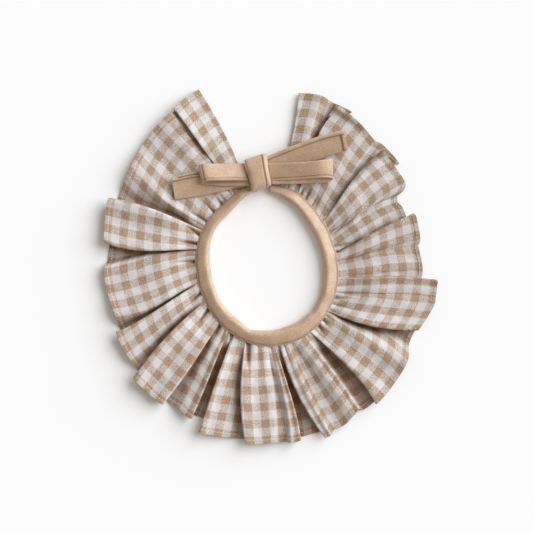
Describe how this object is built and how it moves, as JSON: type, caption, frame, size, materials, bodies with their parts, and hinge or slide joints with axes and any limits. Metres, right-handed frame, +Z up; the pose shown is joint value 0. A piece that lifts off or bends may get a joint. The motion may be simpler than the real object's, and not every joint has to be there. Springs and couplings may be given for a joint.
{
  "type": "detachable collar",
  "caption": "Gathered gingham ruffle collar laid flat in an open ring, with a rolled tan neck binding whose ends tie in a flat bow.",
  "frame": {"origin": "middle of the collar's bounding box on the surface that it lies on", "axes": "+Z straight up from the surface, +Y from the middle of the neck towards the back opening and the bow, +X to the right seen from above with the bow at the top"},
  "size_m": [0.252, 0.2684, 0.0153],
  "materials": {
    "gingham_cotton": "beige and white woven gingham, matt, slightly slubbed",
    "tan_tape": "tan cotton bias tape, matt, lightly brushed"
  },
  "bodies": {
    "root": {"ruffle": "gingham_cotton", "neck_binding": "tan_tape", "knot": "tan_tape", "loop_left": "tan_tape", "loop_right": "tan_tape", "tail_left": "tan_tape", "tail_right": "tan_tape"}
  },
  "joints": []
}
